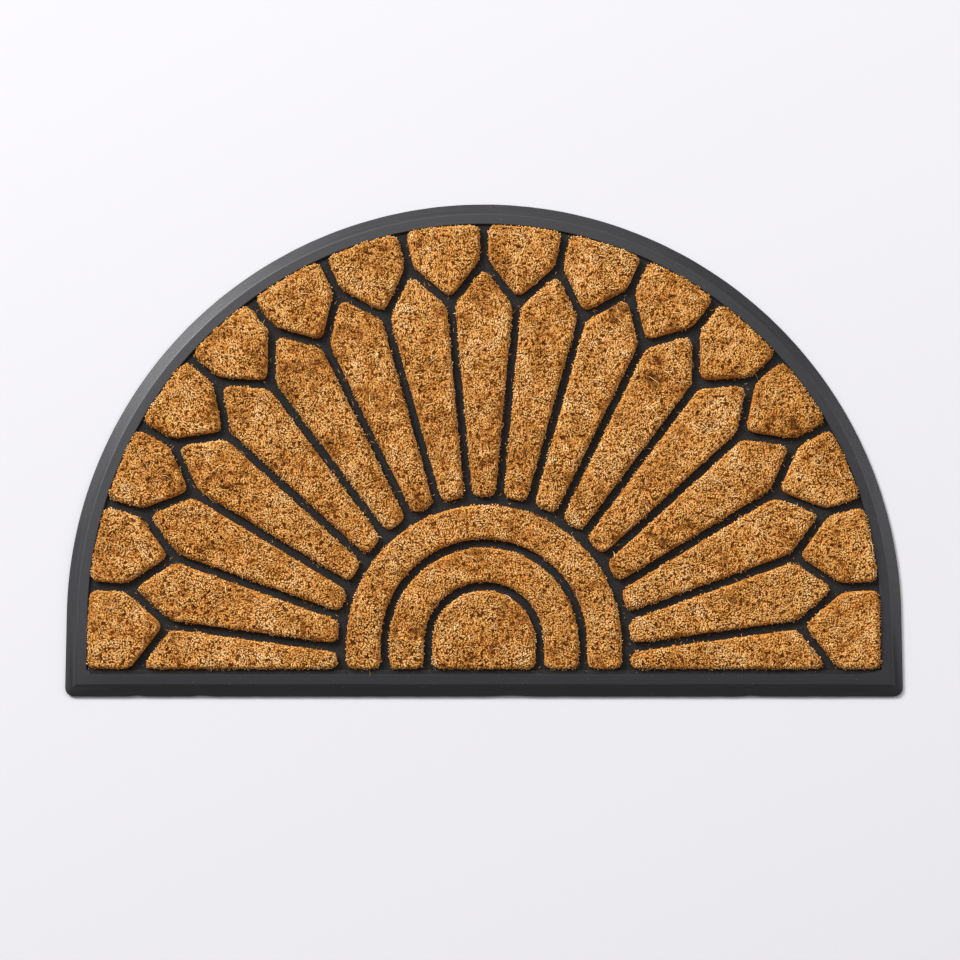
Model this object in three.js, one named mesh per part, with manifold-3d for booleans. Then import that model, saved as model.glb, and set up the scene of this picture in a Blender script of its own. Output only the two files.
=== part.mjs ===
// Half-round scraper mat: a moulded rubber tray with a sunburst of coir bristle pads set into it.
// Millimetres, +Z up. The origin is on the floor under the middle of the mat; the straight edge faces -Y.
import * as THREE from "three";
import { mergeVertices } from "three/addons/utils/BufferGeometryUtils.js";
import Module from "manifold-3d";

const wasm = await Module();
wasm.setup();

// Driving dimensions, in millimetres unless a name says degrees.
const MAT = { width: 750, depth: 450, cornerRadius: 8 };
const RIM = {
  bevelWidth: 11,
  landWidth: 9,
  footLandWidth: 12.5,
  lipOverRibs: 1,
  edgeHeight: 2.5,
  landHeight: 8.5,
  innerCornerRadius: 2,
};
const RIB = { width: 7, height: 7 };
const BACKING = { thickness: 3 };
const PILE = { top: 15, shoulder: 9.5, cornerRadius: 5, seatGap: 0.3, lumpHeight: 0.4, lumpSpacing: 21 };

// The sunburst: arches over the core, rays that meet at one point, and a ring of shields under the round rim.
const SUNBURST = {
  meetingAboveEdge: 25,
  archCentreAboveEdge: 48.5,
  coreRibRadius: 50,
  innerArchRibRadius: 88.5,
  outerArchRibRadius: 127,
  valleyRadius: 282,
  peakRadius: 320.5,
  pitchDegrees: 12.3,
  footHalfWidth: 315,
};
const RAYS_EACH_SIDE = 7;
const SHIELDS_EACH_SIDE = 8;

// How a pad's section closes in towards its top: how far the outline draws in, at what share of the rise.
const SHOULDER_STEPS = [
  { drawIn: 0, rise: 0 },
  { drawIn: 1.3, rise: 0.68 },
  { drawIn: 4.2, rise: 1 },
];

const ROUND_RIM_STEPS = 90;
const ARCH_STEPS = 30;
const SHIELD_RIM_STEPS = 4;
const LOWEST_SHIELD_RIM_STEPS = 1;
const RAY_END_STEPS = 2;
const CORNER_STEPS = 3;

// Places and sizes that follow from the driving dimensions.
const edgeY = -MAT.depth / 2;
const roundRadius = MAT.width / 2;
const roundCentre = new THREE.Vector2(0, MAT.depth / 2 - roundRadius);
const rimWidth = RIM.bevelWidth + RIM.landWidth;
const footRimWidth = RIM.bevelWidth + RIM.footLandWidth;
const halfRib = RIB.width / 2;
const meeting = new THREE.Vector2(0, edgeY + SUNBURST.meetingAboveEdge);
const archCentre = new THREE.Vector2(0, edgeY + SUNBURST.archCentreAboveEdge);

// Cells are drawn to the ribs' middle lines. One that meets the rim reaches past it, so its pad just fits.
const cellOverlap = halfRib - PILE.seatGap;
const cellRimRadius = roundRadius - rimWidth + cellOverlap;
const cellEdgeY = edgeY + footRimWidth - cellOverlap;

const materials = {
  rubber: new THREE.MeshStandardMaterial({ color: 0x2e2d31, roughness: 0.62, metalness: 0 }),
  coir: new THREE.MeshStandardMaterial({ color: 0xb57a38, roughness: 0.95, metalness: 0 }),
};

// A point at a bearing from a centre, counted anticlockwise from +X.
function polar(centre, radius, degrees) {
  const angle = THREE.MathUtils.degToRad(degrees);
  return new THREE.Vector2(centre.x + radius * Math.cos(angle), centre.y + radius * Math.sin(angle));
}

// Points along an arc, both ends included.
function arcPoints(centre, radius, fromDegrees, toDegrees, steps) {
  return Array.from({ length: steps + 1 }, (_, i) =>
    polar(centre, radius, THREE.MathUtils.lerp(fromDegrees, toDegrees, i / steps)),
  );
}

// A cell corner: a sharp one is rounded later, and a smooth one lies on a curve already.
const sharp = (point) => ({ point, rounded: true });
const smooth = (point) => ({ point, rounded: false });

// The same cell on the other side of the mat's middle line, still anticlockwise.
function mirrored(cell) {
  const flip = ({ x, y }) => new THREE.Vector2(-x, y);
  return cell.map(({ point, rounded }) => ({ point: flip(point), rounded })).reverse();
}

// Where the line from the rays' meeting point towards a target crosses the rib over the outer arch.
function archCrossing(target) {
  const towards = target.clone().sub(meeting).normalize();
  const onLeg = meeting.clone().addScaledVector(towards, SUNBURST.outerArchRibRadius / Math.abs(towards.x));
  if (onLeg.y <= archCentre.y) return onLeg;
  const rise = archCentre.y - meeting.y;
  const along = towards.y * rise;
  const reach = along + Math.sqrt(along ** 2 + SUNBURST.outerArchRibRadius ** 2 - rise ** 2);
  return meeting.clone().addScaledVector(towards, reach);
}

// The zigzag rib between rays and shields: valleys lie between two rays, and peaks stand over each ray.
const valley = (index) =>
  polar(roundCentre, SUNBURST.valleyRadius, 90 - (RAYS_EACH_SIDE + 0.5 - index) * SUNBURST.pitchDegrees);
const peakDegrees = (index) => 90 - (RAYS_EACH_SIDE - index) * SUNBURST.pitchDegrees;
const peak = (index) => polar(roundCentre, SUNBURST.peakRadius, peakDegrees(index));
const foot = new THREE.Vector2(SUNBURST.footHalfWidth, cellEdgeY);

// A whole ray, counted from the lowest one on the right.
function rayCell(index) {
  const innerEnds = [archCrossing(valley(index + 1)), archCrossing(valley(index))];
  const endBearings = innerEnds.map((p) => THREE.MathUtils.radToDeg(Math.atan2(p.y - archCentre.y, p.x)));
  const innerEdge = arcPoints(archCentre, SUNBURST.outerArchRibRadius, ...endBearings, RAY_END_STEPS);
  return [
    sharp(valley(index)),
    sharp(peak(index)),
    sharp(valley(index + 1)),
    sharp(innerEnds[0]),
    ...innerEdge.slice(1, -1).map(smooth),
    sharp(innerEnds[1]),
  ];
}

// The lowest ray on the right, which the straight edge cuts.
function halfRayCell() {
  return [
    sharp(new THREE.Vector2(SUNBURST.outerArchRibRadius, cellEdgeY)),
    sharp(foot),
    sharp(valley(0)),
    sharp(archCrossing(valley(0))),
  ];
}

// A shield on the right. The lowest one runs down into the corner of the mat.
function shieldCell(index) {
  const upperDegrees = peakDegrees(index);
  if (index === 0) {
    const rim = arcPoints(roundCentre, cellRimRadius, 0, upperDegrees, LOWEST_SHIELD_RIM_STEPS);
    return [
      sharp(valley(0)),
      sharp(foot),
      sharp(new THREE.Vector2(cellRimRadius, cellEdgeY)),
      ...rim.slice(0, -1).map(smooth),
      sharp(rim.at(-1)),
      sharp(peak(0)),
    ];
  }
  const rim = arcPoints(roundCentre, cellRimRadius, peakDegrees(index - 1), upperDegrees, SHIELD_RIM_STEPS);
  return [
    sharp(valley(index)),
    sharp(peak(index - 1)),
    sharp(rim[0]),
    ...rim.slice(1, -1).map(smooth),
    sharp(rim.at(-1)),
    sharp(peak(index)),
  ];
}

// A band over the core, from one foot on the straight edge over the top to the other foot.
function archCell(innerRadius, outerRadius) {
  const outer = arcPoints(archCentre, outerRadius, 0, 180, ARCH_STEPS).map(smooth);
  const inner = arcPoints(archCentre, innerRadius, 180, 0, ARCH_STEPS).map(smooth);
  return [
    sharp(new THREE.Vector2(outerRadius, cellEdgeY)),
    ...outer,
    sharp(new THREE.Vector2(-outerRadius, cellEdgeY)),
    sharp(new THREE.Vector2(-innerRadius, cellEdgeY)),
    ...inner,
    sharp(new THREE.Vector2(innerRadius, cellEdgeY)),
  ];
}

function coreCell() {
  const radius = SUNBURST.coreRibRadius;
  return [
    sharp(new THREE.Vector2(radius, cellEdgeY)),
    ...arcPoints(archCentre, radius, 0, 180, ARCH_STEPS).map(smooth),
    sharp(new THREE.Vector2(-radius, cellEdgeY)),
  ];
}

// A cell's corners after every side has moved inwards by the same distance.
function inset(cell, distance) {
  const sides = cell.map(({ point }, i) => {
    const along = cell[(i + 1) % cell.length].point.clone().sub(point).normalize();
    const inwards = new THREE.Vector2(-along.y, along.x);
    return { start: point.clone().addScaledVector(inwards, distance), along };
  });
  return cell.map(({ rounded }, i) => {
    const before = sides.at(i - 1);
    const after = sides[i];
    const offset = after.start.clone().sub(before.start);
    const reach = offset.cross(after.along) / before.along.cross(after.along);
    return { point: before.start.clone().addScaledVector(before.along, reach), rounded };
  });
}

// The closed outline of a cell drawn in by a distance, with its sharp corners rounded.
function outline(cell, drawnIn, cornerRadius) {
  const corners = inset(cell, drawnIn);
  const turns = corners.map(({ point, rounded }, i) => {
    if (!rounded) return { enter: point };
    const back = corners.at(i - 1).point.clone().sub(point).normalize();
    const ahead = corners[(i + 1) % corners.length].point.clone().sub(point).normalize();
    const run = cornerRadius / Math.tan(back.angleTo(ahead) / 2);
    const enter = point.clone().addScaledVector(back, run);
    return { enter, corner: point, leave: point.clone().addScaledVector(ahead, run) };
  });
  const shape = new THREE.Shape();
  shape.moveTo(turns[0].enter.x, turns[0].enter.y);
  for (const { enter, corner, leave } of turns) {
    shape.lineTo(enter.x, enter.y);
    if (leave) shape.quadraticCurveTo(corner.x, corner.y, leave.x, leave.y);
  }
  shape.closePath();
  return shape.getPoints(CORNER_STEPS).slice(0, -1);
}

// The mat's own outline drawn in: a half circle on short straight legs. The straight edge may draw in further.
function matOutline(drawnIn, cornerRadius, footDrawnIn = drawnIn) {
  const radius = roundRadius - drawnIn;
  const bottom = edgeY + footDrawnIn;
  const right = new THREE.Vector2(radius - cornerRadius, bottom + cornerRadius);
  const left = new THREE.Vector2(-right.x, right.y);
  return [
    ...arcPoints(right, cornerRadius, -90, 0, CORNER_STEPS),
    ...arcPoints(roundCentre, radius, 0, 180, ROUND_RIM_STEPS),
    ...arcPoints(left, cornerRadius, 180, 270, CORNER_STEPS),
  ];
}

// A closed solid through rings of equally many points, each { points, height }, the lowest ring first.
function loft(rings) {
  const count = rings[0].points.length;
  const positions = rings.flatMap(({ points, height }) => points.flatMap((p) => [p.x, p.y, height(p)]));
  const index = [];
  for (let ring = 0; ring + 1 < rings.length; ring++) {
    for (let i = 0; i < count; i++) {
      const a = ring * count + i;
      const b = ring * count + ((i + 1) % count);
      index.push(a, b, b + count, a, b + count, a + count);
    }
  }
  const bottomFaces = THREE.ShapeUtils.triangulateShape(rings[0].points, []);
  const topFaces = THREE.ShapeUtils.triangulateShape(rings.at(-1).points, []);
  const topStart = (rings.length - 1) * count;
  for (const [a, b, c] of bottomFaces) index.push(a, c, b);
  for (const [a, b, c] of topFaces) index.push(a + topStart, b + topStart, c + topStart);
  const geometry = new THREE.BufferGeometry();
  geometry.setAttribute("position", new THREE.Float32BufferAttribute(positions, 3));
  geometry.setIndex(index);
  return geometry;
}

const level = (z) => () => z;

// The pile is brushed, so its top rises and falls a little in broad lumps.
function pileHeight(z) {
  const wave = (2 * Math.PI) / PILE.lumpSpacing;
  return (p) => z + (PILE.lumpHeight / 2) * (Math.sin(wave * p.x) + Math.sin(wave * (p.y + p.x / 2)));
}

// One coir pad: straight sides in its pocket, and a soft shoulder up to the pile's top.
function padGeometry(cell) {
  const seat = {
    points: outline(cell, halfRib, PILE.cornerRadius),
    height: level(BACKING.thickness + PILE.seatGap),
  };
  const shoulder = SHOULDER_STEPS.map(({ drawIn, rise }) => ({
    points: outline(cell, halfRib + drawIn, PILE.cornerRadius - drawIn),
    height: pileHeight(THREE.MathUtils.lerp(PILE.shoulder, PILE.top - PILE.lumpHeight, rise)),
  }));
  return loft([seat, ...shoulder]);
}

// The pocket that a pad sits in, cut down to the backing.
function pocketGeometry(cell) {
  const points = outline(cell, halfRib - PILE.seatGap, PILE.cornerRadius + PILE.seatGap);
  return loft([
    { points, height: level(BACKING.thickness) },
    { points, height: level(PILE.top) },
  ]);
}

// The rubber before its pockets are cut: outer edge, bevel, flat land, and a floor at the ribs' height.
function trayBlank() {
  const outer = matOutline(0, MAT.cornerRadius);
  const land = matOutline(RIM.bevelWidth, RIM.innerCornerRadius);
  const field = matOutline(rimWidth + RIM.lipOverRibs, RIM.innerCornerRadius, footRimWidth + RIM.lipOverRibs);
  return loft([
    { points: outer, height: level(0) },
    { points: outer, height: level(RIM.edgeHeight) },
    { points: land, height: level(RIM.landHeight) },
    { points: field, height: level(RIM.landHeight) },
    { points: field, height: level(RIB.height) },
  ]);
}

function toSolid(geometry) {
  const merged = mergeVertices(geometry);
  return new wasm.Manifold(
    new wasm.Mesh({
      numProp: 3,
      vertProperties: merged.getAttribute("position").array,
      triVerts: new Uint32Array(merged.index.array),
    }),
  );
}

function toGeometry(solid) {
  const { vertProperties, triVerts } = solid.getMesh();
  const geometry = new THREE.BufferGeometry();
  geometry.setAttribute("position", new THREE.BufferAttribute(vertProperties, 3));
  geometry.setIndex(new THREE.BufferAttribute(triVerts, 1));
  return geometry;
}

function piece(name, geometry, material) {
  geometry.computeVertexNormals();
  const mesh = new THREE.Mesh(geometry, material);
  mesh.name = name;
  return mesh;
}

// A pad on the right and its twin on the left, by name.
const twins = (kind, number, cell) => [
  [`${kind}_right${number}`, cell],
  [`${kind}_left${number}`, mirrored(cell)],
];

// Every pad's cell by name.
const cells = new Map([
  ["core", coreCell()],
  ["arch_inner", archCell(SUNBURST.coreRibRadius, SUNBURST.innerArchRibRadius)],
  ["arch_outer", archCell(SUNBURST.innerArchRibRadius, SUNBURST.outerArchRibRadius)],
  ["ray_middle", rayCell(RAYS_EACH_SIDE)],
  ...twins("half_ray", "", halfRayCell()),
  ...Array.from({ length: RAYS_EACH_SIDE }, (_, i) => twins("ray", `_${i + 1}`, rayCell(i))).flat(),
  ...Array.from({ length: SHIELDS_EACH_SIDE }, (_, i) => twins("shield", `_${i + 1}`, shieldCell(i))).flat(),
]);

let rubber = toSolid(trayBlank());
for (const cell of cells.values()) rubber = rubber.subtract(toSolid(pocketGeometry(cell)));

const mat = new THREE.Group();
mat.name = "scraper_mat";
mat.add(piece("tray", toGeometry(rubber), materials.rubber));
const pile = new THREE.Group();
pile.name = "coir_pads";
for (const [name, cell] of cells) pile.add(piece(name, padGeometry(cell), materials.coir));
mat.add(pile);

export default mat;
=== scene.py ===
"""Looks of the half-round scraper mat: coir pile standing in every pad, set in a moulded rubber tray."""

import logging
import math
from dataclasses import dataclass
from enum import Enum
from typing import Iterable, Mapping, Sequence

import bmesh
import bpy
import numpy as np
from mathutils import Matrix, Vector, noise


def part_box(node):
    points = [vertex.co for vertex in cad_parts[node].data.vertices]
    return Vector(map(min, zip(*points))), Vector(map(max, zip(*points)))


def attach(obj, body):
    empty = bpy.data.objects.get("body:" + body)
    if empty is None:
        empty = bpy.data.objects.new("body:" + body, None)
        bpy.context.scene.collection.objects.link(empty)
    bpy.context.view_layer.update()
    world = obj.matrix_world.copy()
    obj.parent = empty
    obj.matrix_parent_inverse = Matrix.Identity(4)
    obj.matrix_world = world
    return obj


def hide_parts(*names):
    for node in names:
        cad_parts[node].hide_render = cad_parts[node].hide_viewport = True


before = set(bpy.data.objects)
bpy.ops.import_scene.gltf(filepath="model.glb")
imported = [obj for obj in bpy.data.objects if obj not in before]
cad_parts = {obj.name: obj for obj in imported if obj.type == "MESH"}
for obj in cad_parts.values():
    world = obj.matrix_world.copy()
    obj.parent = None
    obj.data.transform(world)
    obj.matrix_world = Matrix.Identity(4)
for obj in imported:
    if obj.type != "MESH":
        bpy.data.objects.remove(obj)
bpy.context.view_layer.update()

MM = 0.001
BODY = "root"
TRAY_NODE = "tray"
BAKE_MAP = "OFBake"
RIM_DEPTH = "rim_depth"

logging.basicConfig(level=logging.INFO, format="%(message)s")
log = logging.getLogger("scraper_mat")


def linear(hex_colour: str) -> tuple[float, float, float, float]:
    """Turns an sRGB colour such as "#b57a38" into linear light.

    Args:
        hex_colour: The colour as a hash sign and six hex digits.

    Returns:
        Red, green, blue and an alpha of 1.
    """
    shares = [int(hex_colour[i : i + 2], 16) / 255 for i in (1, 3, 5)]
    light = [s / 12.92 if s <= 0.04045 else ((s + 0.055) / 1.055) ** 2.4 for s in shares]
    return (*light, 1.0)


def add_node(
    tree: bpy.types.NodeTree,
    kind: str,
    inputs: Mapping[str | int, object] | None = None,
    stops: Sequence[tuple[float, str]] = (),
    **settings: object,
) -> bpy.types.Node:
    """Adds a node, with its settings and its links.

    Args:
        tree: The material's node tree.
        kind: The node's type, such as "ShaderNodeTexNoise".
        inputs: For each input by name or number, a value or the output that feeds it.
        stops: Places and hex colours, for a colour ramp alone.
        settings: The node's own properties.

    Returns:
        The new node.
    """
    node = tree.nodes.new(kind)
    for name, value in settings.items():
        setattr(node, name, value)
    for key, value in (inputs or {}).items():
        if isinstance(value, bpy.types.NodeSocket):
            tree.links.new(value, node.inputs[key])
        else:
            node.inputs[key].default_value = value
    for i, (place, colour) in enumerate(stops):
        ramp = node.color_ramp.elements
        element = ramp[i] if i < 2 else ramp.new(place)
        element.position = place
        element.color = linear(colour)
    return node


def new_material(name: str) -> tuple[bpy.types.Material, bpy.types.NodeTree]:
    """Makes an empty node material.

    Args:
        name: The material's name.

    Returns:
        The material and its cleared node tree.
    """
    material = bpy.data.materials.new(name)
    material.use_nodes = True
    material.node_tree.nodes.clear()
    return material, material.node_tree


def link_object(name: str, mesh: bpy.types.Mesh, material: bpy.types.Material) -> bpy.types.Object:
    """Puts a mesh into the scene with one material.

    Args:
        name: The new object's name.
        mesh: The mesh, in the mat's frame.
        material: The material of all its faces.

    Returns:
        The new object, at the origin.
    """
    mesh.materials.clear()
    mesh.materials.append(material)
    piece = bpy.data.objects.new(name, mesh)
    bpy.context.scene.collection.objects.link(piece)
    return piece


@dataclass(frozen=True)
class CoirFinish:
    """Cut and brushed coconut husk fibre: straw ends over brown stems, matt, with dark depths between, from
    real shadow among the fibres and from painted shade that darkens each fibre towards its root.
    """

    # The darkest tone: dark husk fibre, and the painted shade that the pits' fibres reach.
    husk_and_pit_shade: str = "#48230a"
    stem: str = "#bb7e38"
    body: str = "#d29c56"
    straw: str = "#dcae70"
    bleached: str = "#eed6a8"
    # Painted shade: colours that darken the lower part of each fibre, for the shadow deep in the pile.
    root_painted_shade: str = "#825c42"
    middle_painted_shade: str = "#ebe2d6"
    roughness: float = 0.78
    specular_level: float = 0.12

    def build(self) -> bpy.types.Material:
        """Makes the material, which reads each fibre's tone and height from its own map; the height sets the
        painted shade towards the root.
        """
        material, tree = new_material("coir_cut_fibre")
        place = add_node(tree, "ShaderNodeUVMap", uv_map=BAKE_MAP)
        split = add_node(tree, "ShaderNodeSeparateXYZ", {"Vector": place.outputs["UV"]})
        tones = [
            (0.0, self.husk_and_pit_shade),
            (0.3, self.stem),
            (0.58, self.body),
            (0.85, self.straw),
            (1.0, self.bleached),
        ]
        tone = add_node(tree, "ShaderNodeValToRGB", {"Fac": split.outputs["X"]}, tones)
        # Painted shade along each fibre: darkest at the root, none towards the tip.
        painted_shade_stops = [(0.0, self.root_painted_shade), (0.45, self.middle_painted_shade), (0.85, "#ffffff")]
        painted_shade = add_node(tree, "ShaderNodeValToRGB", {"Fac": split.outputs["Y"]}, painted_shade_stops)
        colour = add_node(
            tree,
            "ShaderNodeMix",
            {"Factor": 1.0, "A": tone.outputs["Color"], "B": painted_shade.outputs["Color"]},
            data_type="RGBA",
            blend_type="MULTIPLY",
        )
        surface = add_node(
            tree,
            "ShaderNodeBsdfPrincipled",
            {
                "Base Color": colour.outputs["Result"],
                "Roughness": self.roughness,
                "Specular IOR Level": self.specular_level,
            },
        )
        add_node(tree, "ShaderNodeOutputMaterial", {"Surface": surface.outputs["BSDF"]})
        return material


@dataclass(frozen=True)
class RubberFinish:
    """Moulded black rubber: satin and faintly streaked along the rim, with pale dust caught in its grain, and
    a darker black painted on the field between the pads as shade.
    """

    black: str = "#131215"
    bloom: str = "#201f23"
    # Painted shade: the field between the pads is painted blacker than the rim, for the shadow among the
    # pads.
    field_black_painted_shade: str = "#080808"
    field_fluff: str = "#221f1d"
    dust: str = "#8d7f6c"
    roughness_low: float = 0.35
    roughness_high: float = 0.46
    land_roughness: float = 0.6
    field_roughness: float = 0.92
    specular_level: float = 0.38
    bevel_width_mm: float = 11.0
    rim_width_mm: float = 20.0
    grain_mm: float = 1.1
    streak_mm: float = 1.6
    streak_length_mm: float = 1000 / 14
    speck_mm: float = 3.2
    speck_core: float = 0.06
    speck_edge: float = 0.12
    clean_rim: float = 0.8
    clean_field: float = 0.45
    dust_strength: float = 0.55
    grain_bump_mm: float = 0.25
    streak_bump_mm: float = 0.3

    def build(self) -> bpy.types.Material:
        """Makes the material on object coordinates and the tray's own depth from its edge."""
        material, tree = new_material("rubber_moulded_black")
        place = add_node(tree, "ShaderNodeTexCoord")
        at = place.outputs["Object"]
        depth = add_node(tree, "ShaderNodeAttribute", attribute_name=RIM_DEPTH)
        split = add_node(tree, "ShaderNodeSeparateXYZ", {"Vector": at})
        per_streak = 1 / (self.streak_mm * MM)
        per_length = 1 / (self.streak_length_mm * MM)
        across = add_node(
            tree, "ShaderNodeMath", {0: depth.outputs["Fac"], 1: per_streak}, operation="MULTIPLY"
        )
        along_x, along_y = (
            add_node(tree, "ShaderNodeMath", {0: split.outputs[axis], 1: per_length}, operation="MULTIPLY")
            for axis in ("X", "Y")
        )
        streak_place = add_node(
            tree,
            "ShaderNodeCombineXYZ",
            {"X": along_x.outputs["Value"], "Y": along_y.outputs["Value"], "Z": across.outputs["Value"]},
        )
        streak = add_node(
            tree,
            "ShaderNodeTexNoise",
            {"Vector": streak_place.outputs["Vector"], "Scale": 1.0, "Detail": 3.0, "Roughness": 0.6},
        )
        grain = add_node(
            tree,
            "ShaderNodeTexNoise",
            {"Vector": at, "Scale": 1 / (self.grain_mm * MM), "Detail": 4.0, "Roughness": 0.65},
        )
        specks = add_node(
            tree, "ShaderNodeTexVoronoi", {"Vector": at, "Scale": 1 / (self.speck_mm * MM), "Randomness": 1.0}
        )
        speck_share = add_node(
            tree,
            "ShaderNodeMapRange",
            {"Value": specks.outputs["Distance"], 1: self.speck_core, 2: self.speck_edge, 3: 1.0, 4: 0.0},
        )
        rim_width = self.rim_width_mm * MM
        # field is 1 between the pads: there the darker black is painted in as shade, the rubber is rougher
        # and more dust lies.
        field = add_node(
            tree,
            "ShaderNodeMapRange",
            {"Value": depth.outputs["Fac"], 1: rim_width - 0.4 * MM, 2: rim_width, 3: 0.0, 4: 1.0},
        )
        chosen = add_node(tree, "ShaderNodeSeparateColor", {"Color": specks.outputs["Color"]})
        clean_share = add_node(
            tree,
            "ShaderNodeMapRange",
            {"Value": field.outputs["Result"], 3: self.clean_rim, 4: self.clean_field},
        )
        picked = add_node(
            tree,
            "ShaderNodeMath",
            {0: chosen.outputs["Red"], 1: clean_share.outputs["Result"]},
            operation="GREATER_THAN",
        )
        dusted = add_node(
            tree,
            "ShaderNodeMath",
            {0: speck_share.outputs["Result"], 1: picked.outputs["Value"]},
            operation="MULTIPLY",
        )
        dust_weight = add_node(
            tree, "ShaderNodeMath", {0: dusted.outputs["Value"], 1: self.dust_strength}, operation="MULTIPLY"
        )
        rim_base = add_node(
            tree,
            "ShaderNodeMix",
            {"Factor": streak.outputs["Fac"], "A": linear(self.black), "B": linear(self.bloom)},
            data_type="RGBA",
        )
        fluff = add_node(
            tree, "ShaderNodeMapRange", {"Value": grain.outputs["Fac"], 1: 0.45, 2: 0.68, 3: 0.0, 4: 1.0}
        )
        field_base = add_node(
            tree,
            "ShaderNodeMix",
            {"Factor": fluff.outputs["Result"], "A": linear(self.field_black_painted_shade), "B": linear(self.field_fluff)},
            data_type="RGBA",
        )
        # The field's base is the rim's black darkened as painted shade, with fluff in its grain.
        base = add_node(
            tree,
            "ShaderNodeMix",
            {
                "Factor": field.outputs["Result"],
                "A": rim_base.outputs["Result"],
                "B": field_base.outputs["Result"],
            },
            data_type="RGBA",
        )
        colour = add_node(
            tree,
            "ShaderNodeMix",
            {"Factor": dust_weight.outputs["Value"], "A": base.outputs["Result"], "B": linear(self.dust)},
            data_type="RGBA",
        )
        rim_roughness = add_node(
            tree,
            "ShaderNodeMapRange",
            {"Value": streak.outputs["Fac"], 1: 0.3, 2: 0.7, 3: self.roughness_low, 4: self.roughness_high},
        )
        bevel_width = self.bevel_width_mm * MM
        on_land = add_node(
            tree,
            "ShaderNodeMapRange",
            {
                "Value": depth.outputs["Fac"],
                1: bevel_width - 0.8 * MM,
                2: bevel_width + 0.4 * MM,
                3: 0.0,
                4: 1.0,
            },
        )
        land_roughness = add_node(
            tree,
            "ShaderNodeMix",
            {
                "Factor": on_land.outputs["Result"],
                "A": rim_roughness.outputs["Result"],
                "B": self.land_roughness,
            },
        )
        roughness = add_node(
            tree,
            "ShaderNodeMix",
            {
                "Factor": field.outputs["Result"],
                "A": land_roughness.outputs["Result"],
                "B": self.field_roughness,
            },
        )
        grain_bump = add_node(
            tree,
            "ShaderNodeBump",
            {"Height": grain.outputs["Fac"], "Strength": 0.35, "Distance": self.grain_bump_mm * MM},
        )
        streak_bump = add_node(
            tree,
            "ShaderNodeBump",
            {
                "Height": streak.outputs["Fac"],
                "Strength": 0.25,
                "Distance": self.streak_bump_mm * MM,
                "Normal": grain_bump.outputs["Normal"],
            },
        )
        surface = add_node(
            tree,
            "ShaderNodeBsdfPrincipled",
            {
                "Base Color": colour.outputs["Result"],
                "Roughness": roughness.outputs["Result"],
                "Specular IOR Level": self.specular_level,
                "Normal": streak_bump.outputs["Normal"],
            },
        )
        add_node(tree, "ShaderNodeOutputMaterial", {"Surface": surface.outputs["BSDF"]})
        return material


@dataclass(frozen=True)
class FloorFinish:
    """Matt white studio board, a shade cool."""

    white: str = "#bcbbbe"
    roughness: float = 0.9

    def build(self) -> bpy.types.Material:
        """Makes the plain material."""
        material, tree = new_material("studio_board_white")
        surface = add_node(
            tree,
            "ShaderNodeBsdfPrincipled",
            {"Base Color": linear(self.white), "Roughness": self.roughness, "Specular IOR Level": 0.1},
        )
        add_node(tree, "ShaderNodeOutputMaterial", {"Surface": surface.outputs["BSDF"]})
        return material


class FibreKind(Enum):
    """The kinds of fibre in the pile, each with its rings as shares of its length."""

    CUT_END = (0.0,)
    TUFT = (0.0, 0.72)
    STRAY = (0.0, 0.2, 0.4, 0.6, 0.8)


@dataclass(frozen=True)
class FibreTemplate:
    """One closed three-sided fibre of unit length and radius, which all fibres of its kind copy."""

    along: np.ndarray
    across: np.ndarray
    triangles: np.ndarray

    @classmethod
    def of_kind(cls, kind: FibreKind, fullness: float = 4.0) -> "FibreTemplate":
        """Models the template.

        Args:
            kind: The kind of fibre.
            fullness: How far up it stays thick; 1 is an even taper.

        Returns:
            The template.
        """
        bm = bmesh.new()
        blunt = kind is FibreKind.CUT_END
        foot, end = (0.0, 1.0) if blunt else (1.0, 0.0)
        bmesh.ops.create_cone(bm, cap_ends=True, segments=3, radius1=foot, radius2=end, depth=1.0)
        bmesh.ops.translate(bm, verts=bm.verts, vec=(0, 0, 0.5))
        bmesh.ops.remove_doubles(bm, verts=bm.verts, dist=1e-4)
        for share in kind.value[1:]:
            everything = [*bm.verts, *bm.edges, *bm.faces]
            bmesh.ops.bisect_plane(bm, geom=everything, plane_co=(0, 0, share), plane_no=(0, 0, 1))
        bmesh.ops.triangulate(bm, faces=bm.faces)
        bmesh.ops.recalc_face_normals(bm, faces=bm.faces)
        bm.verts.index_update()
        corners = np.array([v.co for v in bm.verts])
        triangles = np.array([[v.index for v in f.verts] for f in bm.faces])
        bm.free()
        along = corners[:, 2].clip(0, 1)
        width = along if blunt else 1 - along**fullness
        return cls(along, unit(corners[:, :2]) * width[:, None], triangles)


@dataclass
class MeshArrays:
    """Triangles with a normal and a place on the bake map for each vertex."""

    vertices: np.ndarray
    triangles: np.ndarray
    normals: np.ndarray
    places: np.ndarray


def unit(vectors: np.ndarray) -> np.ndarray:
    """Gives vectors the length 1."""
    return vectors / np.maximum(np.linalg.norm(vectors, axis=-1, keepdims=True), 1e-12)


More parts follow.
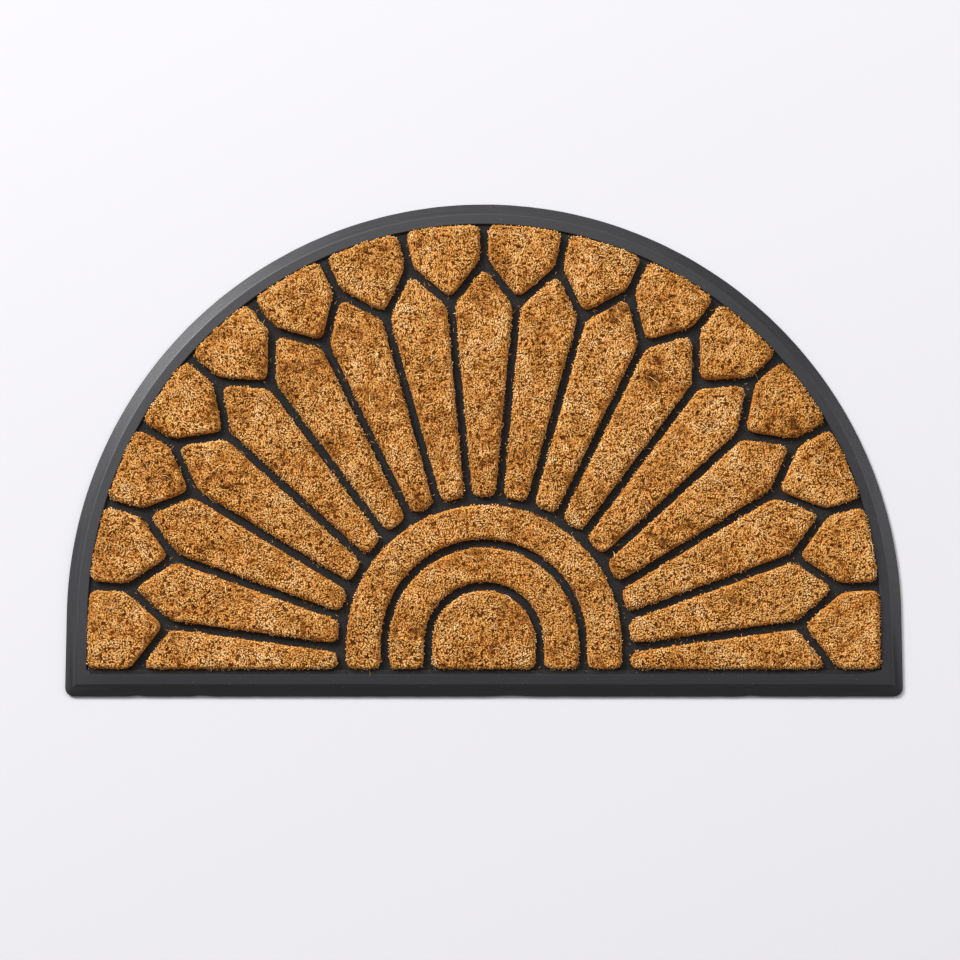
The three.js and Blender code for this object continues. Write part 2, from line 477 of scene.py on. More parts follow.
@dataclass
class Fibres:
    """Many fibres of one kind: bent lines from root over a bow to tip, with their radii and tones."""

    kind: FibreKind
    root: np.ndarray
    bow: np.ndarray
    tip: np.ndarray
    radius: np.ndarray
    tone: np.ndarray
    pile_normal: np.ndarray
    softness: float = 0.82
    map_margin: float = 0.02
    map_step: tuple[float, float] = (0.004, 0.002)

    def surface(self) -> MeshArrays:
        """Works out the joined mesh of all these fibres.

        Returns:
            The mesh; its normals lean towards the pile's own, so that light fills the pile softly.
        """
        template = FibreTemplate.of_kind(self.kind)
        t = template.along[None, :, None]
        line = (1 - t) ** 2 * self.root[:, None] + 2 * t * (1 - t) * self.bow[:, None]
        line = line + t**2 * self.tip[:, None]
        axis = unit(self.tip - self.root)
        helper = np.where(abs(axis[:, :1]) < 0.7, [[1.0, 0, 0]], [[0, 1.0, 0]])
        side = unit(np.cross(axis, helper))
        front = np.cross(axis, side)
        offset = template.across[None, :, :1] * side[:, None] + template.across[None, :, 1:] * front[:, None]
        vertices = line + self.radius[:, None, None] * offset
        around = unit(offset) + t**3 * axis[:, None]
        normals = unit(unit(around) * (1 - self.softness) + self.pile_normal[:, None] * self.softness)
        count = len(template.along)
        triangles = template.triangles[None] + (np.arange(len(self.root)) * count)[:, None, None]
        step = template.across @ np.array(self.map_step)
        span = 1 - 2 * self.map_margin
        u = self.tone[:, None] * span + self.map_margin + step[None]
        # v runs from root to tip; the material paints shade towards the root from it.
        v = np.broadcast_to(template.along * span + self.map_margin, u.shape)
        places = np.stack([u, v], axis=2)
        return MeshArrays(
            vertices.reshape(-1, 3), triangles.reshape(-1, 3), normals.reshape(-1, 3), places.reshape(-1, 2)
        )


def mesh_from_arrays(name: str, parts: Sequence[MeshArrays]) -> bpy.types.Mesh:
    """Joins arrays of triangles into one mesh with a bake map.

    Args:
        name: The mesh's name.
        parts: The parts to join.

    Returns:
        The mesh, smooth shaded with the parts' own normals.
    """
    starts = np.cumsum([0, *(len(part.vertices) for part in parts)])
    vertices = np.concatenate([part.vertices for part in parts])
    triangles = np.concatenate([part.triangles + start for part, start in zip(parts, starts)])
    places = np.concatenate([part.places for part in parts])
    normals = np.concatenate([part.normals for part in parts])
    mesh = bpy.data.meshes.new(name)
    mesh.vertices.add(len(vertices))
    mesh.vertices.foreach_set("co", vertices.astype(np.float32).ravel())
    mesh.loops.add(triangles.size)
    mesh.loops.foreach_set("vertex_index", triangles.astype(np.int32).ravel())
    mesh.polygons.add(len(triangles))
    mesh.polygons.foreach_set("loop_start", np.arange(0, triangles.size, 3, dtype=np.int32))
    bake_map = mesh.uv_layers.new(name=BAKE_MAP)
    bake_map.uv.foreach_set("vector", places[triangles.ravel()].astype(np.float32).ravel())
    mesh.update(calc_edges=True)
    mesh.shade_smooth()
    mesh.normals_split_custom_set_from_vertices(normals.tolist())
    return mesh


@dataclass(frozen=True)
class NoiseLayer:
    """One layer of smooth noise over the mat's plane, with lumps of one size."""

    size: float
    seed: float
    strength: float = 1.0

    def at(self, places: np.ndarray) -> np.ndarray:
        """Reads the noise.

        Args:
            places: Places in the mat's plane, in metres.

        Returns:
            One value for each place, between about plus and minus the strength.
        """
        values = [noise.noise((x / self.size, y / self.size, self.seed)) for x, y in places]
        return self.strength * np.array(values)


def seat_outline(node: str) -> np.ndarray:
    """Reads a pad's outline from the underside of its solid.

    Args:
        node: The pad's node.

    Returns:
        The corners in the mat's plane, anticlockwise from above.
    """
    bm = bmesh.new()
    bm.from_mesh(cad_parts[node].data)
    bmesh.ops.remove_doubles(bm, verts=bm.verts, dist=0.001 * MM)
    underside = [f for f in bm.faces if f.normal.z < -0.99]
    region = bmesh.ops.dissolve_faces(bm, faces=underside, use_verts=False)["region"]
    corners = np.array([v.co.xy for v in region[0].verts])
    bm.free()
    turn = np.roll(corners, -1, axis=0)
    area = (corners[:, 0] * turn[:, 1] - turn[:, 0] * corners[:, 1]).sum()
    return corners if area > 0 else corners[::-1]


def round_corners(outline: np.ndarray, reach: float, spacing: float = 3 * MM) -> np.ndarray:
    """Rounds off an outline's corners by smoothing it along its own length.

    Args:
        outline: The corners in the mat's plane.
        reach: How far along the outline the smoothing reaches, as a normal spread.
        spacing: The distance between the corners of the result.

    Returns:
        The corners of the rounded outline.
    """
    closed = np.vstack([outline, outline[:1]])
    travelled = np.concatenate([[0.0], np.cumsum(np.linalg.norm(np.diff(closed, axis=0), axis=1))])
    count = round(travelled[-1] / spacing)
    stops = np.arange(count) * travelled[-1] / count
    even = np.column_stack([np.interp(stops, travelled, closed[:, axis]) for axis in (0, 1)])
    shifts = np.arange(-4, 5)
    weights = np.exp(-((shifts * spacing / reach) ** 2) / 2)
    shares = weights / weights.sum()
    return sum(np.roll(even, shift, axis=0) * share for shift, share in zip(shifts, shares))


def outline_face(bm: bmesh.types.BMesh, outline: np.ndarray, height: float) -> bmesh.types.BMFace:
    """Adds an outline to a bmesh as one face that looks up.

    Args:
        bm: The bmesh.
        outline: The corners, anticlockwise.
        height: The face's height.

    Returns:
        The face.
    """
    face = bm.faces.new([bm.verts.new((x, y, height)) for x, y in outline])
    bm.normal_update()
    return face


def raise_face(bm: bmesh.types.BMesh, face: bmesh.types.BMFace, height: float) -> bmesh.types.BMFace:
    """Raises a face into a solid and keeps the face below it.

    Args:
        bm: The bmesh.
        face: A face that looks up.
        height: The solid's height.

    Returns:
        The raised face.
    """
    made = bmesh.ops.extrude_face_region(bm, geom=[face], use_keep_orig=True)["geom"]
    bmesh.ops.translate(bm, verts=[g for g in made if isinstance(g, bmesh.types.BMVert)], vec=(0, 0, height))
    bm.normal_update()
    return next(g for g in made if isinstance(g, bmesh.types.BMFace))


@dataclass
class CoirPad:
    """One pad of cut coir pile: a brown matted bed in its pocket and the fibres that stand out of it."""

    node: str
    seed: int
    corner_round: float = 3.6 * MM
    bed_draw_in: float = 0.5 * MM
    bed_top: float = 10.6 * MM
    bed_round: float = 1.6 * MM
    bed_tones: tuple[float, float] = (0.26, 0.1)
    # Painted shade: where the bed sits on the root-shade ramp, which darkens it as the pile's depth.
    bed_painted_shades: tuple[float, float] = (0.36, 0.05)
    pile_top: float = 14.7 * MM
    shoulder: float = 9.6 * MM
    shoulder_width: float = 4.6 * MM
    lumps: tuple[NoiseLayer, ...] = (NoiseLayer(24 * MM, 1.7, 0.8 * MM), NoiseLayer(9 * MM, 5.2, 0.8 * MM))
    pits: NoiseLayer = NoiseLayer(3.3 * MM, 9.1)
    pit_level: float = 0.24
    pit_slope: float = 0.1
    pit_depth: float = 3.4 * MM
    # Painted shade: how far the tone of fibres in a pit is lowered, for the shadow in the pit.
    pit_painted_shade: float = 0.9
    clumps: NoiseLayer = NoiseLayer(2.4 * MM, 11.6)
    clump_height: float = 0.5 * MM
    clump_tone: float = 0.1
    cut_end_drop: float = 0.5 * MM
    height_spread: float = 0.3 * MM
    turns: tuple[NoiseLayer, ...] = (NoiseLayer(26 * MM, 13.4), NoiseLayer(9 * MM, 17.8, 0.6))
    turn_spread: float = 0.9
    lean_degrees: tuple[float, float] = (15.0, 9.0)
    lean_limits_degrees: tuple[float, float] = (2.0, 45.0)
    edge_band: float = 3.5 * MM
    edge_lean: float = 0.25
    edge_swell: float = 0.3 * MM
    ragged: tuple[NoiseLayer, ...] = (NoiseLayer(15 * MM, 29.2, 1.0 * MM), NoiseLayer(5 * MM, 31.4, 1.5 * MM))
    root_height: float = 9.4 * MM
    least_length: float = 2.4 * MM
    patches: tuple[NoiseLayer, ...] = (
        NoiseLayer(34 * MM, 21.3, 0.36),
        NoiseLayer(11 * MM, 25.9, 0.42),
        NoiseLayer(5.5 * MM, 27.1, 0.32),
    )
    mean_tone: float = 0.53
    tone_spread: float = 0.07
    lightest_tone: float = 0.9
    cut_ends_per_mm2: float = 0.33
    cut_end_radius: tuple[float, float] = (0.58 * MM, 0.88 * MM)
    tufts_per_mm2: float = 0.344
    tuft_radius: tuple[float, float] = (0.4 * MM, 0.64 * MM)
    strays_per_mm2: float = 1 / 700
    stray_radius: tuple[float, float] = (0.22 * MM, 0.36 * MM)
    stray_tone: tuple[float, float] = (0.88, 1.0)
    stray_reach: tuple[float, float] = (7 * MM, 18 * MM)
    stray_bend: float = 0.3
    stray_lift: float = 0.3 * MM
    stray_arch: float = 1.2 * MM
    stray_root: float = 1.5 * MM
    overhang_share: float = 0.25
    overhang_reach: float = 0.45
    overhang_height: tuple[float, float] = (8 * MM, 12 * MM)

    def __post_init__(self) -> None:
        """Reads the pad's outline and starts its own row of random numbers."""
        self.outline = round_corners(seat_outline(self.node), self.corner_round)
        self.random = np.random.default_rng(self.seed)

    def build(self, finish: bpy.types.Material) -> bpy.types.Object:
        """Makes the pad's piece.

        Args:
            finish: The coir material.

        Returns:
            The piece, which stands for the pad's node.
        """
        parts = [
            self.bed(),
            self.upright(FibreKind.CUT_END, self.cut_ends_per_mm2).surface(),
            self.upright(FibreKind.TUFT, self.tufts_per_mm2).surface(),
            self.strays().surface(),
        ]
        piece = link_object(f"pile_{self.node}", mesh_from_arrays(f"pile_{self.node}", parts), finish)
        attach(piece, BODY)
        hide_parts(self.node)
        return piece

    def bed(self) -> MeshArrays:
        """Models the matted bed that the fibres stand in."""
        bm = bmesh.new()
        seat_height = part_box(self.node)[0].z
        face = outline_face(bm, self.outline, seat_height)
        bmesh.ops.inset_individual(bm, faces=[face], thickness=self.bed_draw_in, use_even_offset=True)
        bmesh.ops.delete(bm, geom=[f for f in bm.faces if f is not face], context="FACES")
        top = raise_face(bm, face, self.bed_top - self.bed_round - seat_height)
        bmesh.ops.inset_individual(
            bm, faces=[top], thickness=self.bed_round, depth=self.bed_round, use_even_offset=True
        )
        bmesh.ops.triangulate(bm, faces=bm.faces)
        bm.normal_update()
        bm.verts.index_update()
        vertices = np.array([v.co for v in bm.verts])
        normals = np.array([v.normal for v in bm.verts])
        triangles = np.array([[v.index for v in f.verts] for f in bm.faces])
        bm.free()
        low, high = vertices.min(axis=0), vertices.max(axis=0)
        share = (vertices - low) / (high - low)
        tone, tone_range = self.bed_tones
        painted_shade, painted_shade_range = self.bed_painted_shades
        # The bed's v puts it low on the painted-shade ramp, so it is painted darker as shade deep in the
        # pile.
        places = np.stack([tone + tone_range * share[:, 0], painted_shade + painted_shade_range * share[:, 1]], axis=1)
        return MeshArrays(vertices, triangles, normals, places)

    def spread(self, per_mm2: float) -> np.ndarray:
        """Strews places evenly over the pad, one at random in each square of a grid.

        Args:
            per_mm2: How many places a square millimetre has.

        Returns:
            The places inside the outline.
        """
        pitch = MM / math.sqrt(per_mm2)
        low, high = self.outline.min(axis=0), self.outline.max(axis=0)
        counts = np.ceil((high - low) / pitch).astype(int)
        grid = np.stack(np.meshgrid(*(np.arange(n) for n in counts), indexing="ij"), axis=2).reshape(-1, 2)
        places = low + (grid + self.random.random(grid.shape)) * pitch
        return places[self.inside(places)]

    def inside(self, places: np.ndarray) -> np.ndarray:
        """Tells which places lie inside the outline.

        Args:
            places: Places in the mat's plane.

        Returns:
            True or False for each place.
        """
        x, y = places[:, :1], places[:, 1:]
        start, end = self.outline, np.roll(self.outline, -1, axis=0)
        rise = end[:, 1] - start[:, 1]
        rise = np.where(rise == 0, 1e-12, rise)
        crosses = (start[:, 1] > y) != (end[:, 1] > y)
        at = start[:, 0] + (y - start[:, 1]) / rise * (end[:, 0] - start[:, 0])
        return (crosses & (x < at)).sum(axis=1) % 2 == 1

    def to_edge(self, places: np.ndarray) -> tuple[np.ndarray, np.ndarray]:
        """Finds the way to the nearest edge.

        Args:
            places: Places inside the outline.

        Returns:
            The distance to the edge and the direction outwards.
        """
        start = self.outline
        side = np.roll(start, -1, axis=0) - start
        offset = places[:, None] - start[None]
        share = ((offset * side).sum(axis=2) / (side**2).sum(axis=1)).clip(0, 1)
        away = start[None] + share[..., None] * side[None] - places[:, None]
        distance = np.linalg.norm(away, axis=2)
        nearest = distance.argmin(axis=1)
        rows = np.arange(len(places))
        found = distance[rows, nearest]
        return found, away[rows, nearest] / np.maximum(found, 1e-9)[:, None]

    def pile_height(self, places: np.ndarray) -> np.ndarray:
        """Gives the height of the pile, rounded off at the edge and brushed into lumps.

        Args:
            places: Places inside the outline.

        Returns:
            The heights.
        """
        edge, _ = self.to_edge(places)
        inwards = 1 - (edge / self.shoulder_width).clip(0, 1)
        rounded = self.shoulder + (self.pile_top - self.shoulder) * np.sqrt(1 - inwards**2)
        return rounded + sum(layer.at(places) for layer in self.lumps)

    def pile_normal(self, places: np.ndarray) -> np.ndarray:
        """Gives the direction that the brushed pile's surface faces.

        Args:
            places: Places inside the outline.

        Returns:
            Unit vectors.
        """
        step = 0.7 * MM
        here = self.pile_height(places)
        slope = [(self.pile_height(places + np.eye(2)[axis] * step) - here) / step for axis in (0, 1)]
        return unit(np.column_stack([-slope[0], -slope[1], np.ones(len(places))]))

    def upright(self, kind: FibreKind, per_mm2: float) -> Fibres:
        """Grows the standing fibres.

        Args:
            kind: Blunt cut ends or tufts with bent ends.
            per_mm2: How many stand on a square millimetre.

        Returns:
            The fibres.
        """
        places = self.spread(per_mm2)
        count = len(places)
        edge, outwards = self.to_edge(places)
        near_edge = (1 - edge / self.edge_band).clip(0, 1)
        pit = ((self.pits.at(places) - self.pit_level) / self.pit_slope).clip(0, 1)
        clump = self.clumps.at(places)
        height = self.pile_height(places) - self.pit_depth * pit + self.clump_height * clump
        drop = self.cut_end_drop if kind is FibreKind.CUT_END else 0.0
        height += self.random.normal(-drop, self.height_spread, count)
        turn = sum(layer.at(places) for layer in self.turns)
        bearing = 2 * math.pi * turn + self.random.normal(0, self.turn_spread, count)
        degrees = self.random.normal(*self.lean_degrees, count).clip(*self.lean_limits_degrees)
        lean = np.tan(np.radians(degrees))
        tilt = np.stack([np.cos(bearing), np.sin(bearing)], axis=1) * lean[:, None]
        tilt = tilt * (1 - near_edge)[:, None] + outwards * (self.edge_lean * near_edge)[:, None]
        swell = (self.edge_swell + sum(layer.at(places) for layer in self.ragged)) * near_edge
        root_height = np.minimum(self.root_height, height - self.least_length)
        rise = height - root_height
        tip = np.column_stack([places + outwards * swell[:, None], height])
        root = np.column_stack([places - tilt * rise[:, None], root_height])
        bow = (root + tip) / 2
        if kind is FibreKind.TUFT:
            bow[:, :2] = root[:, :2] + tilt * (0.15 * rise)[:, None]
            bow[:, 2] = root_height + 0.9 * rise
        patch = sum(layer.at(places) for layer in self.patches) + self.clump_tone * clump
        spread = self.random.normal(0, self.tone_spread, count)
        # Fibres sunk in a pit also get painted shade: their tone is lowered towards the darkest colour.
        tone = (self.mean_tone + patch + spread - self.pit_painted_shade * pit).clip(0, self.lightest_tone)
        thickness = self.cut_end_radius if kind is FibreKind.CUT_END else self.tuft_radius
        radius = self.random.uniform(*thickness, count)
        return Fibres(kind, root, bow, tip, radius, tone, self.pile_normal(places))

    def strays(self) -> Fibres:
        """Draws out the long pale fibres that lie over the pile and hang over its edge.

        Returns:
            The fibres.
        """
        places = self.spread(self.strays_per_mm2)
        count = len(places)
        bearing = self.random.uniform(0, 2 * math.pi, count)
        away = np.stack([np.cos(bearing), np.sin(bearing)], axis=1)
        aside = np.stack([-away[:, 1], away[:, 0]], axis=1)
        reach = self.random.uniform(*self.stray_reach, count)[:, None]
        kept = self.inside(places + away * reach) | (self.random.random(count) < self.overhang_share)
        away = np.where(kept[:, None], away, -away)
        reach = np.where(self.inside(places + away * reach)[:, None], reach, self.overhang_reach * reach)
        ends = places + away * reach
        bend = self.random.normal(0, self.stray_bend, (count, 1))
        middles = places + (0.5 * away + bend * aside) * reach
        lying = self.inside(ends)
        hanging = self.random.uniform(*self.overhang_height, count)
        end_height = np.where(lying, self.pile_height(ends) + self.stray_lift, hanging)
        start_height = self.pile_height(places)
        root = np.column_stack([places, start_height - self.stray_root])
        bow = np.column_stack([middles, np.maximum(start_height, end_height) + self.stray_arch])
        tip = np.column_stack([ends, end_height])
        radius = self.random.uniform(*self.stray_radius, count)
        tone = self.random.uniform(*self.stray_tone, count)
        return Fibres(FibreKind.STRAY, root, bow, tip, radius, tone, self.pile_normal(places))


@dataclass(frozen=True)
class RimStep:
    """One step of the rim's section, from the outer edge inwards."""

    inset: float
    rise: float


@dataclass(frozen=True)
class Nick:
    """A place where the straight edge was trimmed unevenly."""

    x: float
    width: float
    depth: float

    def at(self, x: float) -> float:
        """Gives the nick's depth at a place along the edge."""
        return self.depth * math.exp(-((2 * (x - self.x) / self.width) ** 2))


@dataclass
class RubberTray:
    """The moulded tray: a backing with a bevelled rim, and ribs that part the pads."""

    edge_height: float = 2.3 * MM
    corner_radius: float = 8 * MM
    arc_steps: int = 144
    foot_cuts: int = 240
    corner_clearance: float = 30 * MM
    lip: tuple[RimStep, ...] = (
        RimStep(0.25 * MM, 0.3 * MM),
        RimStep(0.5 * MM, 0.27 * MM),
        RimStep(5.7 * MM, 3.13 * MM),
    )
    land: tuple[RimStep, ...] = (
        RimStep(3.4 * MM, 1.866 * MM),
        RimStep(0.35 * MM, 0.19 * MM),
        RimStep(0.5 * MM, 0.2 * MM),
        RimStep(0.4 * MM, 0.09 * MM),
        RimStep(0.4 * MM, 0.045 * MM),
        RimStep(3.7 * MM, 0.42 * MM),
        RimStep(3.7 * MM, 0.42 * MM),
        RimStep(0.4 * MM, 0.045 * MM),
    )
    inner_step: tuple[RimStep, ...] = (
        RimStep(0.4 * MM, -0.1 * MM),
        RimStep(0.3 * MM, -0.4 * MM),
        RimStep(0.1 * MM, -5.5 * MM),
    )
    foot_land_extra: float = 3.5 * MM
    rib_foot: float = 2.5 * MM
    rib_top: float = 7 * MM
    rib_hold: float = 0.6 * MM
    opening_height: float = 20 * MM
    sharp_degrees: float = 38.0
    mitre_reach: float = 0.9 * MM
    wave: NoiseLayer = NoiseLayer(50 * MM, 3.3, 0.12 * MM)
    trim: NoiseLayer = NoiseLayer(12 * MM, 7.9, 0.2 * MM)
    nicks: tuple[Nick, ...] = (
        Nick(-310 * MM, 9 * MM, 0.9 * MM),
        Nick(-252 * MM, 14 * MM, 0.7 * MM),
        Nick(24 * MM, 22 * MM, 0.8 * MM),
        Nick(241 * MM, 12 * MM, 0.5 * MM),
    )

    def __post_init__(self) -> None:
        """Reads the tray's outer sizes from its node."""
        low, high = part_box(TRAY_NODE)
        self.radius = (high.x - low.x) / 2
        self.edge_y = low.y
        self.centre_y = high.y - self.radius

    def build(self, finish: bpy.types.Material, outlines: Iterable[np.ndarray]) -> bpy.types.Object:
        """Makes the tray's piece.

        Args:
            finish: The rubber material.
            outlines: The pads' outlines, for the pockets.

        Returns:
            The piece, which stands for the tray's node.
        """
        bm = bmesh.new()
        self.add_rim(bm)
        ribs = self.ribs(outlines)
        bm.from_mesh(ribs)
        bpy.data.meshes.remove(ribs)
        mesh = bpy.data.meshes.new("rubber_tray")
        bm.to_mesh(mesh)
        bm.free()
        self.measure_rim(mesh)
        mesh.shade_smooth()
        mesh.set_sharp_from_angle(angle=math.radians(self.sharp_degrees))
        piece = link_object("rubber_tray", mesh, finish)
        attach(piece, BODY)
        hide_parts(TRAY_NODE)
        return piece

    def half_round(
        self, bm: bmesh.types.BMesh, draw_in: float, foot_draw_in: float
    ) -> list[bmesh.types.BMVert]:
        """Models the tray's outline as one face: half a disc on a straight foot.

        Args:
            bm: The bmesh that gets the face, at the floor.
            draw_in: How far the outline lies inside the tray's edge.
            foot_draw_in: The same for its straight foot.

        Returns:
            The two lower corners.
        """
        radius = self.radius - draw_in
        bmesh.ops.create_circle(bm, cap_ends=True, segments=2 * self.arc_steps, radius=radius)
        everything = [*bm.verts, *bm.edges, *bm.faces]
        bmesh.ops.bisect_plane(
            bm, geom=everything, dist=0.01 * MM, plane_co=(0, 0, 0), plane_no=(0, -1, 0), clear_outer=True
        )
        chord = max(bm.edges, key=lambda e: e.calc_length())
        made = bmesh.ops.extrude_edge_only(bm, edges=[chord])["geom"]
        feet = [g for g in made if isinstance(g, bmesh.types.BMVert)]
        bmesh.ops.translate(bm, verts=feet, vec=(0, self.edge_y + foot_draw_in - self.centre_y, 0))
        bmesh.ops.dissolve_edges(bm, edges=[chord], use_verts=False)
        bmesh.ops.translate(bm, verts=bm.verts, vec=(0, self.centre_y, 0))
        bm.normal_update()
        return feet

    def add_rim(self, bm: bmesh.types.BMesh) -> None:
        """Models the backing and the rim round it.

        Args:
            bm: An empty bmesh.
        """
        feet = self.half_round(bm, 0.0, 0.0)
        bmesh.ops.bevel(
            bm,
            geom=feet,
            offset=self.corner_radius,
            offset_type="OFFSET",
            segments=6,
            profile=0.5,
            affect="VERTICES",
            material=-1,
        )
        foot = max(bm.edges, key=lambda e: e.calc_length())
        share = self.corner_clearance / foot.calc_length()
        bmesh.utils.edge_split(foot, foot.verts[0], share)
        foot = max(bm.edges, key=lambda e: e.calc_length())
        far_end = min(foot.verts, key=lambda v: -abs(v.co.x))
        bmesh.utils.edge_split(foot, far_end, share)
        foot = max(bm.edges, key=lambda e: e.calc_length())
        bmesh.ops.subdivide_edges(bm, edges=[foot], cuts=self.foot_cuts)
        top = raise_face(bm, next(iter(bm.faces)), self.edge_height)
        self.step_in(bm, top, self.lip)
        self.mitre_corners(bm, top)
        self.step_in(bm, top, self.land)
        lowest = min(v.co.y for v in top.verts)
        foot_row = [v for v in top.verts if v.co.y < lowest + 0.5 * MM]
        bmesh.ops.translate(bm, verts=foot_row, vec=(0, self.foot_land_extra, 0))
        self.step_in(bm, top, self.inner_step)
        self.weather(bm)

    def ribs(self, outlines: Iterable[np.ndarray]) -> bpy.types.Mesh:
        """Models the ribs as a plate with an opening for each pad.

        Args:
            outlines: The pads' outlines.

        Returns:
            The mesh of the ribs.
        """
        plate = bmesh.new()
        inner = sum(step.inset for step in (*self.lip, *self.land, *self.inner_step)) - self.rib_hold
        self.half_round(plate, inner, inner + self.foot_land_extra)
        bmesh.ops.translate(plate, verts=plate.verts, vec=(0, 0, self.rib_foot))
        raise_face(plate, next(iter(plate.faces)), self.rib_top - self.rib_foot)
        openings = bmesh.new()
        for outline in outlines:
            raise_face(openings, outline_face(openings, outline, 0.0), self.opening_height)
        helpers = []
        for name, bm in (("rib_plate", plate), ("rib_openings", openings)):
            mesh = bpy.data.meshes.new(name)
            bm.to_mesh(mesh)
            bm.free()
            helpers.append(bpy.data.objects.new(name, mesh))
            bpy.context.scene.collection.objects.link(helpers[-1])
        cut = helpers[0].modifiers.new("openings", "BOOLEAN")
        cut.object = helpers[1]
        cut.operation = "DIFFERENCE"
        cut.solver = "EXACT"
        depsgraph = bpy.context.evaluated_depsgraph_get()
        ribs = bpy.data.meshes.new_from_object(helpers[0].evaluated_get(depsgraph))
        for helper in helpers:
            mesh = helper.data
            bpy.data.objects.remove(helper)
            bpy.data.meshes.remove(mesh)
        return ribs

    def step_in(self, bm: bmesh.types.BMesh, face: bmesh.types.BMFace, steps: Iterable[RimStep]) -> None:
        """Draws a face inwards step by step.

        Args:
            bm: The tray's bmesh.
            face: The face inside the rim.
            steps: The section's steps.
        """
        for step in steps:
            bmesh.ops.inset_individual(
                bm, faces=[face], thickness=step.inset, depth=step.rise, use_even_offset=True
            )

    def mitre_corners(self, bm: bmesh.types.BMesh, face: bmesh.types.BMFace) -> None:
        """Draws each rounded lower corner of the inner face together into one point.

        Args:
            bm: The tray's bmesh.
            face: The face inside the lip.
        """
        drawn_in = sum(step.inset for step in self.lip)
        for side in (-1, 1):
            corner = Vector((side * (self.radius - drawn_in), self.edge_y + drawn_in, 0))
            reach = self.corner_radius - drawn_in + self.mitre_reach
            near = [v for v in face.verts if (v.co.xy - corner.xy).length < reach]
            corner.z = near[0].co.z
            bmesh.ops.pointmerge(bm, verts=near, merge_co=corner)

    def weather(self, bm: bmesh.types.BMesh) -> None:
        """Gives the rim the slight waves of trimmed, moulded rubber.

        Args:
            bm: The tray's bmesh.
        """
        for vertex in bm.verts:
            place = np.array([vertex.co.xy])
            depth = float(self.rim_depth(place)[0])
            if vertex.co.z > 1 * MM:
                vertex.co.z += self.wave.at(place)[0]
            if depth < 0.5 * MM:
                vertex.co.y += self.trim.at(place)[0]
                if place[0, 1] < self.edge_y + 1 * MM:
                    vertex.co.y += sum(nick.at(place[0, 0]) for nick in self.nicks)

    def rim_depth(self, places: np.ndarray) -> np.ndarray:
        """Tells how far places lie inside the tray's edge.

        Args:
            places: Places in the mat's plane.

        Returns:
            The distances.
        """
        x, y = places[:, 0], places[:, 1]
        from_round = self.radius - np.hypot(x, np.maximum(y - self.centre_y, 0))
        return np.minimum(from_round, y - self.edge_y)

    def measure_rim(self, mesh: bpy.types.Mesh) -> None:
        """Writes each vertex's distance from the edge to the mesh, for the rubber's streaks.

        Args:
            mesh: The tray's mesh.
        """
        corners = np.empty(len(mesh.vertices) * 3, np.float32)
        mesh.vertices.foreach_get("co", corners)
        attribute = mesh.attributes.new(RIM_DEPTH, "FLOAT", "POINT")
        attribute.data.foreach_set("value", self.rim_depth(corners.reshape(-1, 3)[:, :2]).astype(np.float32))


@dataclass
class CoirLint:
    """Short fibres shed by the pads, which lie loose on the ribs between them."""

    tray: RubberTray
    seed: int
    per_mm2: float = 1 / 190
    clear_of_rim: float = 21 * MM
    height: float = 7.3 * MM
    half_length: tuple[float, float] = (0.8 * MM, 2.6 * MM)
    bend: float = 0.9
    arch: float = 2 * MM
    radius: tuple[float, float] = (0.12 * MM, 0.24 * MM)
    tone: tuple[float, float] = (0.2, 1.0)

    def build(self, finish: bpy.types.Material, pads: Sequence[CoirPad]) -> bpy.types.Object:
        """Makes the lint as one piece.

        Args:
            finish: The coir material.
            pads: The pads that it lies between.

        Returns:
            The piece.
        """
        random = np.random.default_rng(self.seed)
        low, high = (np.array(corner.xy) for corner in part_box(TRAY_NODE))
        amount = int((high - low).prod() / MM**2 * self.per_mm2)
        places = low + random.random((amount, 2)) * (high - low)
        open_places = self.tray.rim_depth(places) > self.clear_of_rim
        for pad in pads:
            open_places &= ~pad.inside(places)
        places = places[open_places]
        count = len(places)
        bearing = random.uniform(0, 2 * math.pi, count)
        along = np.stack([np.cos(bearing), np.sin(bearing)], axis=1)
        half = random.uniform(*self.half_length, (count, 1))
        bend = np.stack([-along[:, 1], along[:, 0]], axis=1) * random.normal(0, self.bend, (count, 1))
        root = np.column_stack([places - along * half, np.full(count, self.height)])
        bow = np.column_stack([places + bend * half, self.height + random.uniform(0, self.arch, count)])
        tip = np.column_stack([places + along * half, np.full(count, self.height)])
        up = np.tile([0.0, 0.0, 1.0], (count, 1))
        radius = random.uniform(*self.radius, count)
        tone = random.uniform(*self.tone, count)
        fibres = Fibres(FibreKind.STRAY, root, bow, tip, radius, tone, up)
        piece = link_object("coir_lint", mesh_from_arrays("coir_lint", [fibres.surface()]), finish)
        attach(piece, BODY)
        return piece


@dataclass(frozen=True)
class Panel:
    """A square light panel that faces the mat."""

    name: str
    power: float
    size: float
    bearing_degrees: float
    height_degrees: float
    distance: float


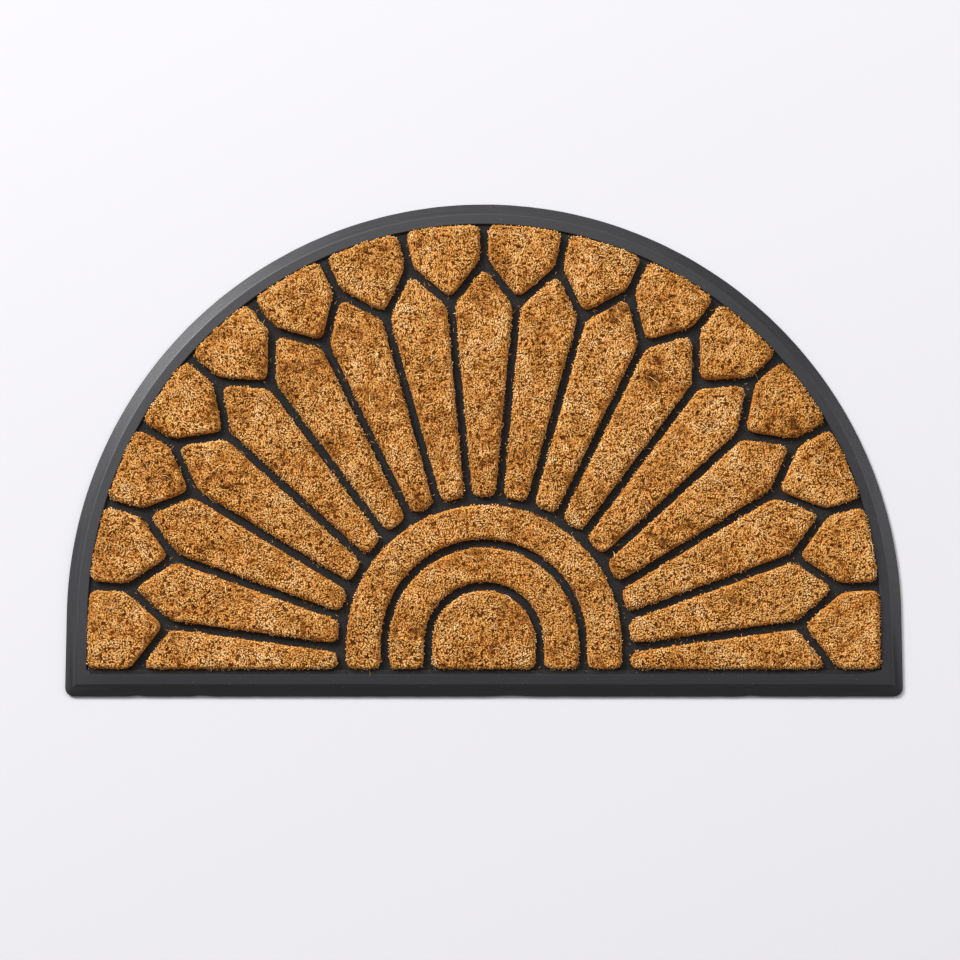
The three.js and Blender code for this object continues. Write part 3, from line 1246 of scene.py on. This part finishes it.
@dataclass
class Studio:
    """A white floor, soft light that comes mostly from the upper left, and a camera almost straight above."""

    camera_place: tuple[float, float, float] = (-0.0036, -0.264, 1.9862)
    camera_tilt_degrees: float = 6.73
    lens_mm: float = 82.76
    sensor_mm: float = 36.0
    floor_size: float = 8.0
    sky: str = "#f9f8fb"
    sky_strength: float = 0.37
    panels: tuple[Panel, ...] = (
        Panel("key_softbox", 1270.0, 3.2, 136.0, 36.0, 9.0),
        Panel("back_panel", 245.0, 4.6, 86.0, 43.0, 7.0),
        Panel("left_fill", 40.0, 3.0, 184.0, 32.0, 6.0),
        Panel("right_fill", 115.0, 3.0, 16.0, 33.0, 6.0),
    )

    def build(self) -> None:
        """Sets up the floor, the lights and the camera."""
        self.lay_floor()
        self.light()
        self.set_camera()

    def lay_floor(self) -> None:
        """Lays the plain floor under the mat."""
        bm = bmesh.new()
        bmesh.ops.create_grid(bm, x_segments=1, y_segments=1, size=self.floor_size / 2)
        mesh = bpy.data.meshes.new("studio_floor")
        bm.to_mesh(mesh)
        bm.free()
        link_object("studio_floor", mesh, FloorFinish().build())

    def light(self) -> None:
        """Lights the scene with a pale sky and large panels."""
        world = bpy.data.worlds.new("studio_sky")
        world.use_nodes = True
        background = world.node_tree.nodes["Background"]
        background.inputs["Color"].default_value = linear(self.sky)
        background.inputs["Strength"].default_value = self.sky_strength
        bpy.context.scene.world = world
        for panel in self.panels:
            self.hang(panel)

    def hang(self, panel: Panel) -> None:
        """Hangs one light panel so that it faces the mat.

        Args:
            panel: The panel's place, size and power.
        """
        lamp = bpy.data.lights.new(panel.name, "AREA")
        lamp.energy = panel.power
        lamp.size = panel.size
        bearing = math.radians(panel.bearing_degrees)
        height = math.radians(panel.height_degrees)
        level = math.cos(height)
        away = Vector((math.cos(bearing) * level, math.sin(bearing) * level, math.sin(height)))
        box = bpy.data.objects.new(panel.name, lamp)
        box.location = away * panel.distance
        box.rotation_euler = (-away).to_track_quat("-Z", "Y").to_euler()
        bpy.context.scene.collection.objects.link(box)

    def set_camera(self) -> None:
        """Places the camera at the photograph's angle."""
        lens = bpy.data.cameras.new("camera")
        lens.lens = self.lens_mm
        lens.sensor_width = self.sensor_mm
        camera = bpy.data.objects.new("camera", lens)
        camera.location = self.camera_place
        camera.rotation_euler = (math.radians(self.camera_tilt_degrees), 0, 0)
        bpy.context.scene.collection.objects.link(camera)
        bpy.context.scene.camera = camera
        bpy.context.scene.view_settings.view_transform = "Standard"


def main() -> None:
    """Builds the studio, the tray and the pads."""
    Studio().build()
    nodes = sorted(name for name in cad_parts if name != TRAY_NODE)
    pads = [CoirPad(node, seed) for seed, node in enumerate(nodes, start=1)]
    tray = RubberTray()
    rubber = tray.build(RubberFinish().build(), [pad.outline for pad in pads])
    log.info("%s: %d faces", rubber.name, len(rubber.data.polygons))
    coir = CoirFinish().build()
    lint = CoirLint(tray, len(pads) + 1).build(coir, pads)
    log.info("%s: %d triangles", lint.name, len(lint.data.polygons))
    total = 0
    for pad in pads:
        piece = pad.build(coir)
        total += len(piece.data.polygons)
        log.info("%s: %d triangles", piece.name, len(piece.data.polygons))
    log.info("pile: %d triangles in all", total)


if __name__ == "__main__":
    main()
